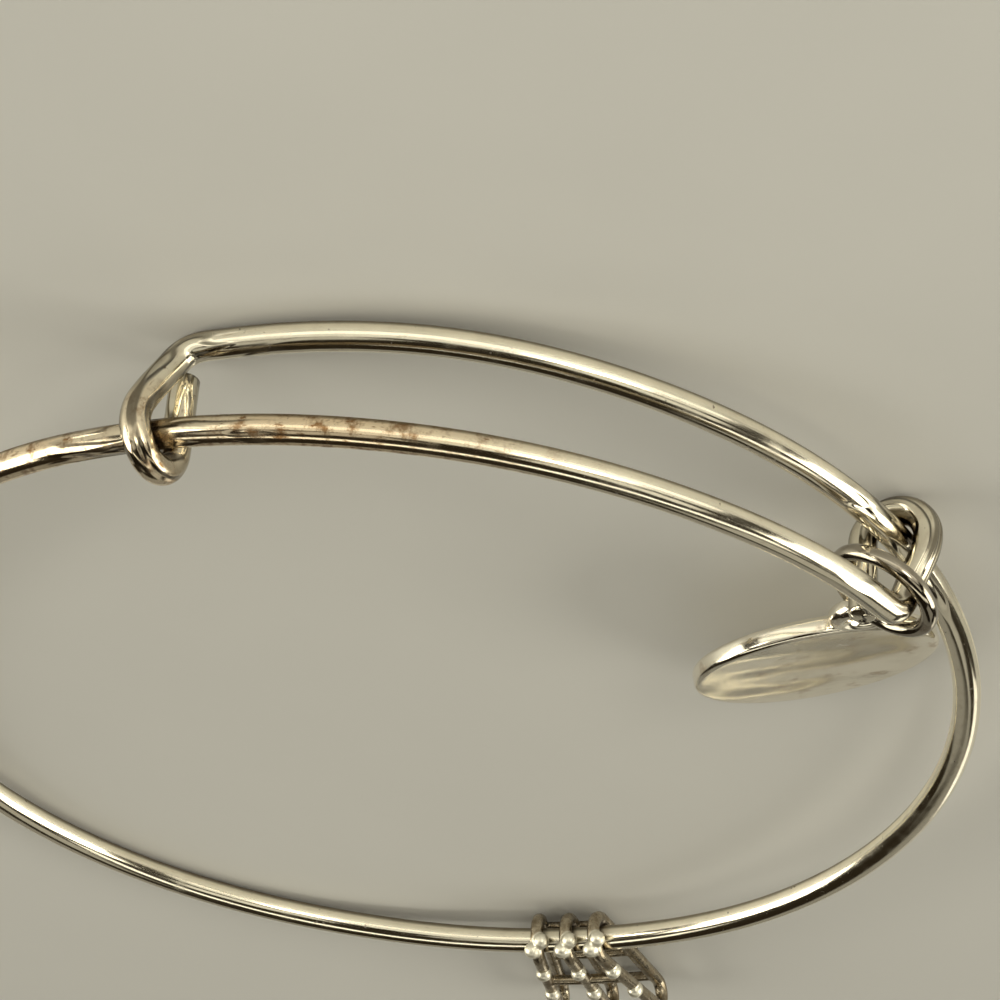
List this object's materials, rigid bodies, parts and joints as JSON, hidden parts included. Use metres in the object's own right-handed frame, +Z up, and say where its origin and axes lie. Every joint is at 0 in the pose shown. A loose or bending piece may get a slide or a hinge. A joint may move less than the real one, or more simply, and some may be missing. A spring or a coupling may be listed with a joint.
{
  "type": "charm bangle",
  "caption": "Expandable wire bangle with sliding end knots, a jump ring with a round disc charm, and a charm of three ball-trimmed wire loops.",
  "frame": {"origin": "the hoop's axis at the surface that the bangle lies on", "axes": "+Z up along the hoop's axis, +Y from the knots towards the far side of the hoop"},
  "size_m": [0.065, 0.0732, 0.0089],
  "materials": {
    "polished_steel_wire": "polished, lightly tarnished",
    "jump_ring_steel": "polished",
    "disc_silver": "polished",
    "darkened_silver": "polished with dark recesses"
  },
  "bodies": {
    "root": {"bangle_wire": "polished_steel_wire", "jump_ring": "jump_ring_steel", "disc_charm": "disc_silver", "loop_charm": "darkened_silver"}
  },
  "joints": []
}
